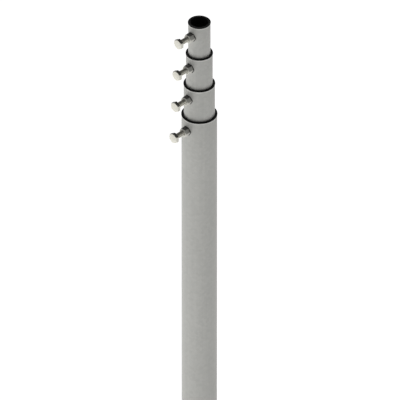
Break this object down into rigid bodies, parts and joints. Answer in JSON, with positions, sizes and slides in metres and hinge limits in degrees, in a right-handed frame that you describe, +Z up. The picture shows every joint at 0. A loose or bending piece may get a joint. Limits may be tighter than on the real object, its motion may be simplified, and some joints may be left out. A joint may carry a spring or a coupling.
{
  "type": "telescopic antenna mast",
  "caption": "Slim stowed push-up mast of round steel tubes that slide in one another, with plastic guide bushings and a hex-headed clamp screw in a welded nut near each tube's rim.",
  "frame": {"origin": "centre of the base tube's lower end face, on the mast's axis", "axes": "+Z up the mast's axis towards the antenna's socket; the clamp screws point along -Y"},
  "size_m": [0.0516, 0.079, 1.6827],
  "materials": {
    "galvanised_tube": "galvanised, dull grey with faint lengthwise draw lines",
    "weld_nut": "galvanised over the weld, dull",
    "zinc_screw": "bright zinc plated, light satin",
    "black_plastic": "moulded black nylon, matte"
  },
  "bodies": {
    "base_section": {"base_tube": "galvanised_tube", "base_guide_bushing": "black_plastic", "base_clamp_nut": "weld_nut", "base_plug": "black_plastic"},
    "base_screw": {"base_clamp_screw": "zinc_screw"},
    "lower_section": {"lower_tube": "galvanised_tube", "lower_guide_bushing": "black_plastic", "lower_clamp_nut": "weld_nut", "lower_foot_guide": "black_plastic"},
    "lower_screw": {"lower_clamp_screw": "zinc_screw"},
    "upper_section": {"upper_tube": "galvanised_tube", "upper_guide_bushing": "black_plastic", "upper_clamp_nut": "weld_nut", "upper_foot_guide": "black_plastic"},
    "upper_screw": {"upper_clamp_screw": "zinc_screw"},
    "top_section": {"top_tube": "galvanised_tube", "top_guide_bushing": "black_plastic", "top_clamp_nut": "weld_nut", "top_foot_guide": "black_plastic"},
    "top_screw": {"top_clamp_screw": "zinc_screw"}
  },
  "joints": [
    {"name": "lower_slide", "type": "slide", "parent": "base_section", "child": "lower_section", "axis": [0, 0, 1], "range_m": [0, 1.206]},
    {"name": "upper_slide", "type": "slide", "parent": "lower_section", "child": "upper_section", "axis": [0, 0, 1], "range_m": [0, 1.255]},
    {"name": "top_slide", "type": "slide", "parent": "upper_section", "child": "top_section", "axis": [0, 0, 1], "range_m": [0, 1.305]},
    {"name": "base_screw_turn", "type": "hinge", "parent": "base_section", "child": "base_screw", "pos_m": [0, -0.0374, 1.507], "axis": [0, -1, 0], "range_deg": [0, 450]},
    {"name": "lower_screw_turn", "type": "hinge", "parent": "lower_section", "child": "lower_screw", "pos_m": [0, -0.03422, 1.5595], "axis": [0, -1, 0], "range_deg": [0, 450]},
    {"name": "upper_screw_turn", "type": "hinge", "parent": "upper_section", "child": "upper_screw", "pos_m": [0, -0.03105, 1.612], "axis": [0, -1, 0], "range_deg": [0, 450]},
    {"name": "top_screw_turn", "type": "hinge", "parent": "top_section", "child": "top_screw", "pos_m": [0, -0.02788, 1.6645], "axis": [0, -1, 0], "range_deg": [0, 450]}
  ]
}
